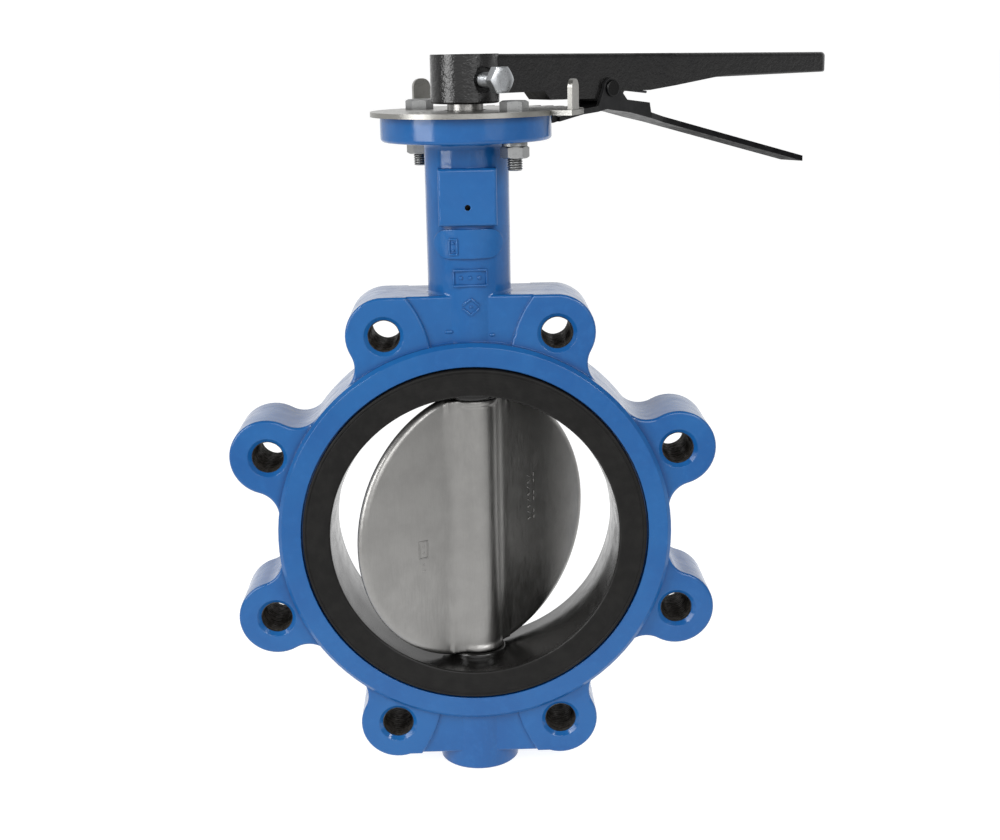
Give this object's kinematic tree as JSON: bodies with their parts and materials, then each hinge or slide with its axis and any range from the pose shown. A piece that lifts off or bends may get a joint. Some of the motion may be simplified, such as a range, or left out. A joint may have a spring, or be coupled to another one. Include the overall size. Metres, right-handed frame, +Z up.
{
  "type": "butterfly valve",
  "caption": "Lug-type butterfly valve with a rubber seat, steel disc and a notched hand lever with a squeeze trigger; shuts or throttles a pipe.",
  "frame": {"origin": "centre of the disc, where the pipe axis crosses the stem axis", "axes": "+Z up the stem to the lever, +Y along the pipe away from the face with the blank badge, +X completes a right-handed set"},
  "size_m": [0.3553, 0.2166, 0.3955],
  "materials": {
    "blue_epoxy": "glossy sprayed epoxy on a sand casting",
    "seat_rubber": "moulded EPDM, satin",
    "disc_steel": "ground stainless casting, satin",
    "stem_steel": "turned stainless steel, bright",
    "spring_steel": "spring steel, dark and oiled",
    "bush_polymer": "PTFE-faced bush",
    "seal_rubber": "nitrile rubber",
    "plug_steel": "painted steel plug",
    "plate_steel": "stamped stainless sheet",
    "zinc_steel": "zinc-plated fastener",
    "black_casting": "gloss black paint on a rough casting",
    "screw_steel": "zinc-plated hexagon screw",
    "black_strap": "black enamel on steel strap",
    "pin_steel": "black-oxide steel pin"
  },
  "bodies": {
    "casing": {"valve_body": "blue_epoxy", "seat_liner": "seat_rubber", "neck_bush_upper": "bush_polymer", "neck_bush_lower": "bush_polymer", "bottom_bush": "bush_polymer", "thrust_washer": "bush_polymer", "stem_seals": "seal_rubber", "bottom_plug": "plug_steel", "plug_gasket": "seal_rubber", "notch_plate": "plate_steel", "plate_bolts": "zinc_steel", "plate_nuts": "zinc_steel", "lock_washers": "zinc_steel"},
    "lever_set": {"disc": "disc_steel", "upper_stem": "stem_steel", "lower_stem": "stem_steel", "stem_circlip": "spring_steel", "lever": "black_casting", "hub_screw": "screw_steel", "trigger_pin": "pin_steel", "pin_clip": "spring_steel", "trigger_spring": "spring_steel"},
    "trigger_set": {"trigger": "black_strap"}
  },
  "joints": [
    {"name": "valve_turn", "type": "hinge", "parent": "casing", "child": "lever_set", "pos_m": [0, 0, 0], "axis": [0, 0, 1], "range_deg": [-36, 54]},
    {"name": "trigger_squeeze", "type": "hinge", "parent": "lever_set", "child": "trigger_set", "pos_m": [0.07443, 0.05408, 0.235], "axis": [0.5878, -0.809, 0], "range_deg": [-5, 12], "stiffness_Nm_per_rad": 6, "deforming": ["trigger_spring"]}
  ]
}
